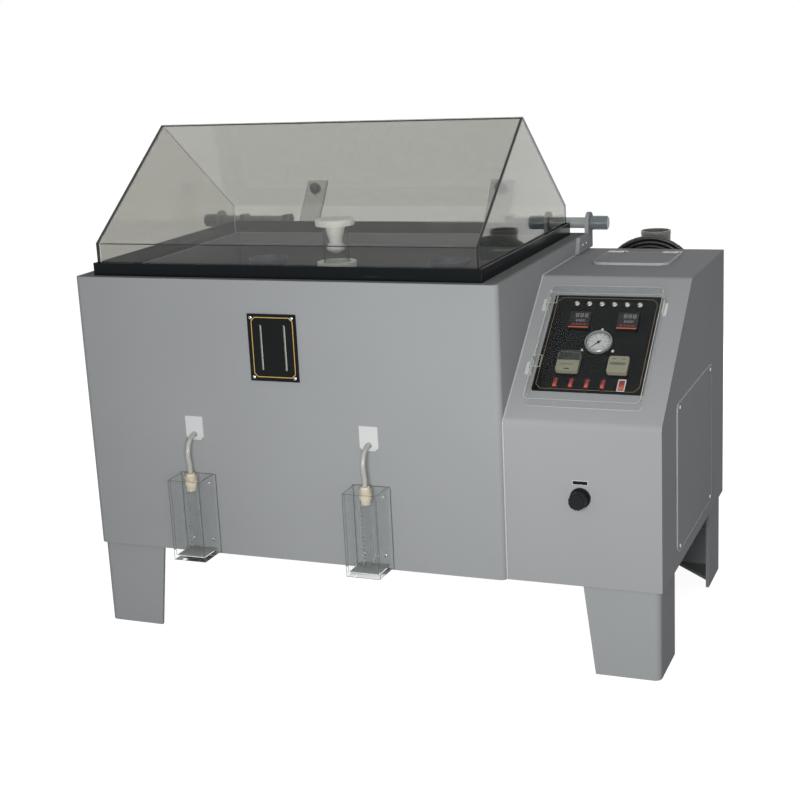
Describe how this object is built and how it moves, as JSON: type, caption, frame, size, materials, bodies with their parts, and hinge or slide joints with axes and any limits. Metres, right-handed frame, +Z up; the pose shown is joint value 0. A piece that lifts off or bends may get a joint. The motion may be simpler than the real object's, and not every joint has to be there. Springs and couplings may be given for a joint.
{
  "type": "environmental test chamber",
  "caption": "Floor-standing salt-fog test chamber: grey tank with a clear hinged tent lid in a water seal, side control console, front fog collectors and four legs.",
  "frame": {"origin": "bottom centre of the whole object, on the floor", "axes": "+Z up, -Y towards the front with the level gauge, +X towards the console"},
  "size_m": [1.4702, 0.9582, 1.203],
  "materials": {
    "grey_sheet": "satin welded plastic sheet",
    "deck_sheet": "satin plastic sheet",
    "black_sheet": "satin black plastic sheet",
    "liner_sheet": "smooth light grey plastic",
    "pipe_grey": "smooth grey pipe",
    "clear_sheet": "clear acrylic, polished edges",
    "white_plastic": "smooth white plastic",
    "clear_glass": "clear glass",
    "funnel_grey": "dark grey moulded plastic",
    "black_panel": "gloss black plate with a gold border line",
    "silicone": "milky silicone tube",
    "cream_rubber": "matt cream rubber",
    "black_rubber": "matt black rubber",
    "black_plastic": "fine-textured black plastic",
    "chrome": "polished screws and bezels",
    "steel": "brushed steel case",
    "beige_plastic": "smooth beige plastic",
    "red_plastic": "glossy red rocker",
    "milk_tank": "milky polyethylene"
  },
  "bodies": {
    "cabinet": {"tank_shell": "grey_sheet", "tank_floor": "deck_sheet", "tank_deck": "deck_sheet", "water_seal_trough": "black_sheet", "chamber_liner": "liner_sheet", "leg_front_left": "grey_sheet", "leg_front_right": "grey_sheet", "leg_rear_left": "grey_sheet", "leg_rear_right": "grey_sheet", "lid_ears": "grey_sheet", "rest_arms": "grey_sheet", "rest_bumpers": "black_rubber", "spray_tower_base": "white_plastic", "spray_tower_tube": "clear_glass", "spray_nozzle": "clear_glass", "fog_funnels": "funnel_grey", "drain_stub": "pipe_grey", "level_plate": "black_panel", "level_tubes": "clear_glass", "tag_plates": "white_plastic", "collector_hoses": "silicone", "collector_stoppers": "cream_rubber", "collector_cylinders": "clear_glass", "holder_left": "clear_sheet", "holder_right": "clear_sheet", "case_screws": "chrome", "console_shell": "grey_sheet", "console_back": "deck_sheet", "console_floor": "deck_sheet", "access_panel": "grey_sheet", "hinge_leaves": "clear_sheet", "instrument_panel": "black_panel", "pilot_lamps": "chrome", "controllers": "black_plastic", "panel_timers": "beige_plastic", "switch_bodies": "black_plastic", "pressure_gauge": "steel", "gauge_lens": "clear_glass", "cover_catch": "clear_sheet", "regulator_body": "black_plastic", "brine_reservoir": "milk_tank", "exhaust_elbow": "grey_sheet", "cord_gland": "black_plastic", "power_lead": "black_rubber", "power_coil": "black_rubber", "power_plug": "black_rubber"},
    "lid": {"lid_canopy": "clear_sheet", "lid_end_plates": "clear_sheet", "lid_hinge_tubes": "pipe_grey", "lid_end_caps": "pipe_grey"},
    "spray_tower_cap": {"spray_cap": "white_plastic"},
    "instrument_cover": {"panel_cover": "clear_sheet"},
    "hatch": {"hatch_cover": "grey_sheet"},
    "gauge_needle": {"gauge_pointer": "black_plastic"},
    "regulator_handwheel": {"regulator_knob": "black_plastic"},
    "switch_1": {"rocker_1": "red_plastic"},
    "switch_2": {"rocker_2": "red_plastic"},
    "switch_3": {"rocker_3": "red_plastic"},
    "switch_4": {"rocker_4": "red_plastic"},
    "mains_switch": {"main_rocker": "red_plastic"}
  },
  "joints": [
    {"name": "lid_hinge", "type": "hinge", "parent": "cabinet", "child": "lid", "pos_m": [-0.14985, 0.34785, 0.905], "axis": [-1, 0, 0], "range_deg": [0, 79]},
    {"name": "spray_cap_lift", "type": "slide", "parent": "cabinet", "child": "spray_tower_cap", "axis": [0, 0, 1], "range_m": [0, 0.03]},
    {"name": "cover_hinge", "type": "hinge", "parent": "cabinet", "child": "instrument_cover", "pos_m": [0.41365, -0.23542, 0.71001], "axis": [0, -0.7848, -0.6198], "range_deg": [0, 92]},
    {"name": "hatch_hinge", "type": "hinge", "parent": "cabinet", "child": "hatch", "pos_m": [0.55015, 0.25585, 0.845], "axis": [-1, 0, 0], "range_deg": [0, 100]},
    {"name": "gauge_needle_turn", "type": "hinge", "parent": "cabinet", "child": "gauge_needle", "pos_m": [0.55415, -0.2232, 0.71711], "axis": [0, 0.6198, -0.7848], "range_deg": [0, 270], "stiffness_Nm_per_rad": 0.0002},
    {"name": "regulator_turn", "type": "hinge", "parent": "cabinet", "child": "regulator_handwheel", "pos_m": [0.55215, -0.40315, 0.413], "axis": [0, -1, 0], "range_deg": [0, 720]},
    {"name": "switch_1_tilt", "type": "hinge", "parent": "cabinet", "child": "switch_1", "pos_m": [0.47815, -0.31096, 0.6427], "axis": [1, 0, 0], "range_deg": [0, 20]},
    {"name": "switch_2_tilt", "type": "hinge", "parent": "cabinet", "child": "switch_2", "pos_m": [0.51365, -0.31096, 0.6427], "axis": [1, 0, 0], "range_deg": [0, 20]},
    {"name": "switch_3_tilt", "type": "hinge", "parent": "cabinet", "child": "switch_3", "pos_m": [0.54915, -0.31096, 0.6427], "axis": [1, 0, 0], "range_deg": [0, 20]},
    {"name": "switch_4_tilt", "type": "hinge", "parent": "cabinet", "child": "switch_4", "pos_m": [0.58465, -0.31096, 0.6427], "axis": [1, 0, 0], "range_deg": [0, 20]},
    {"name": "mains_switch_tilt", "type": "hinge", "parent": "cabinet", "child": "mains_switch", "pos_m": [0.62615, -0.31175, 0.64208], "axis": [1, 0, 0], "range_deg": [0, 20]}
  ]
}
